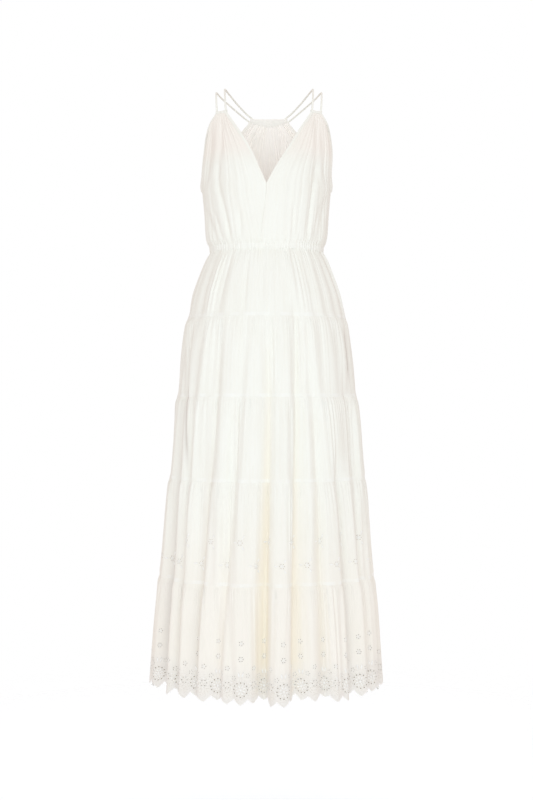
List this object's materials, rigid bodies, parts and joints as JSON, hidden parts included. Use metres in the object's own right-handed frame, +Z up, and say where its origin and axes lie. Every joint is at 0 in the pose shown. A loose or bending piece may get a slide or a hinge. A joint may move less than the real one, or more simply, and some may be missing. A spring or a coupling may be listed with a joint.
{
  "type": "maxi dress",
  "caption": "Sleeveless tiered maxi dress, hollow as worn: wrap-look V bodice on thin shoulder straps, narrow waist casing, gathered skirt tiers and a scalloped hem.",
  "frame": {"origin": "midway between the highest points of the shoulder straps, where a wearer's shoulders hold it", "axes": "+Z up along the dress, -Y to its front, +X to the right as seen from the front"},
  "size_m": [0.5338, 0.4276, 1.3642],
  "materials": {
    "crinkled_cloth": "matte, crinkled",
    "bound_edges": "matte, folded strips"
  },
  "bodies": {
    "root": {"front_left": "crinkled_cloth", "front_right": "crinkled_cloth", "back": "crinkled_cloth", "waist_casing": "crinkled_cloth", "tier_1_front": "crinkled_cloth", "tier_1_back": "crinkled_cloth", "tier_2_front": "crinkled_cloth", "tier_2_back": "crinkled_cloth", "tier_3_front": "crinkled_cloth", "tier_3_back": "crinkled_cloth", "tier_4_front": "crinkled_cloth", "tier_4_back": "crinkled_cloth", "tier_5_front": "crinkled_cloth", "tier_5_back": "crinkled_cloth", "front_band_left": "bound_edges", "front_band_right": "bound_edges", "back_band": "bound_edges", "neck_binding_left": "bound_edges", "neck_binding_right": "bound_edges", "armhole_binding_front_left": "bound_edges", "armhole_binding_front_right": "bound_edges", "armhole_binding_back_left": "bound_edges", "armhole_binding_back_right": "bound_edges", "inner_strap_left": "bound_edges", "inner_strap_right": "bound_edges", "outer_strap_left": "bound_edges", "outer_strap_right": "bound_edges"}
  },
  "joints": []
}
